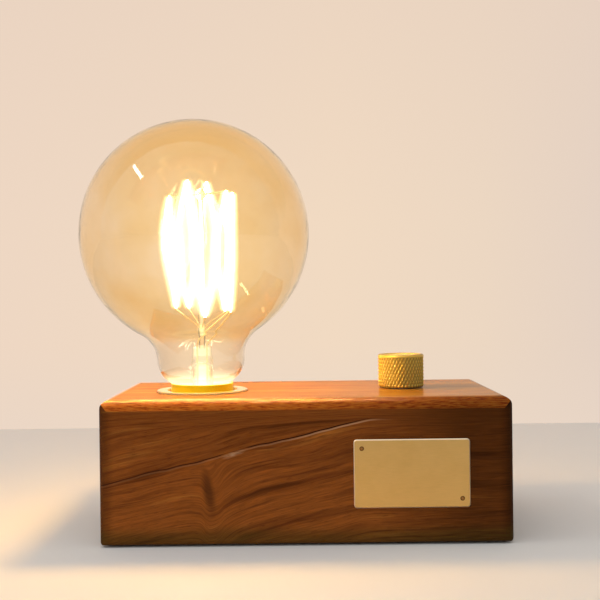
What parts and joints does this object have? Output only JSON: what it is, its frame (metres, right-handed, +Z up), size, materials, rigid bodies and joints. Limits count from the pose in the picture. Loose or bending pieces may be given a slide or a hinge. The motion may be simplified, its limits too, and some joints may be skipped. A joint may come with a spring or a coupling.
{
  "type": "table lamp",
  "caption": "Table lamp with a solid wood block base, a bare globe filament bulb in a sunken porcelain holder, a knurled brass dimmer knob and a bare brass plate.",
  "frame": {"origin": "on the surface the lamp stands on, under the middle of the block", "axes": "+X to the right seen from the front, where the dimmer knob is; +Y to the back; +Z up"},
  "size_m": [0.171, 0.095, 0.1681],
  "materials": {
    "lacquered_wood": "glossy lacquer over dark brown wood",
    "cover_board": "black painted hardboard",
    "steel": "zinc plated",
    "felt": "dense wool felt",
    "plate_brass": "satin, bevelled edge",
    "aged_brass": "darkened",
    "black_plastic": "moulded",
    "porcelain": "clear glaze",
    "holder_brass": "rolled sheet",
    "amber_glass": "clear blown glass with an amber coat on the globe",
    "clear_glass": "clear",
    "filament_wire": "glowing tungsten",
    "mount_wire": "drawn wire",
    "cap_brass": "rolled thread",
    "cement": "set cement",
    "cap_glass": "black vitrite",
    "solder": "tinned",
    "knob_brass": "turned and knurled",
    "shaft_metal": "turned",
    "housing_plastic": "moulded",
    "board": "solder mask over glass board",
    "capacitor_case": "moulded case",
    "copper_winding": "enamelled wire",
    "fuse_glass": "ceramic tube",
    "terminal_plastic": "moulded",
    "lead_cover": "heat-proof sleeve"
  },
  "bodies": {
    "base": {"wood_block": "lacquered_wood", "base_plate": "cover_board", "cover_screws": "steel", "felt_pad": "felt", "name_plate": "plate_brass", "plate_pins": "aged_brass", "cord_bush": "black_plastic", "holder_body": "porcelain", "holder_shell": "holder_brass", "centre_contact": "holder_brass", "holder_terminals": "holder_brass", "terminal_screws": "steel", "holder_strap": "steel", "holder_screws": "steel", "holder_nuts": "steel", "dimmer_bushing": "shaft_metal", "dimmer_washer": "steel", "dimmer_nut": "steel", "dimmer_housing": "housing_plastic", "dimmer_board": "board", "triac": "black_plastic", "heat_sink": "shaft_metal", "film_capacitor": "capacitor_case", "choke": "copper_winding", "fuse": "fuse_glass", "terminal_block": "terminal_plastic", "lamp_leads": "lead_cover"},
    "bulb": {"bulb_glass": "amber_glass", "bulb_stem": "clear_glass", "filament": "filament_wire", "support_wires": "mount_wire", "lead_wires": "mount_wire", "cap_shell": "cap_brass", "cap_cement": "cement", "cap_insulator": "cap_glass", "cap_contact": "solder"},
    "dimmer": {"dimmer_knob": "knob_brass", "knob_grub_screw": "steel", "dimmer_shaft": "shaft_metal"}
  },
  "joints": [
    {"name": "bulb_unscrew", "type": "slide", "parent": "base", "child": "bulb", "axis": [0, 0, 1], "range_m": [0, 0.032]},
    {"name": "dimmer_turn", "type": "hinge", "parent": "base", "child": "dimmer", "pos_m": [0.0404, 0, 0.0561], "axis": [0, 0, 1], "range_deg": [-135, 135]}
  ]
}
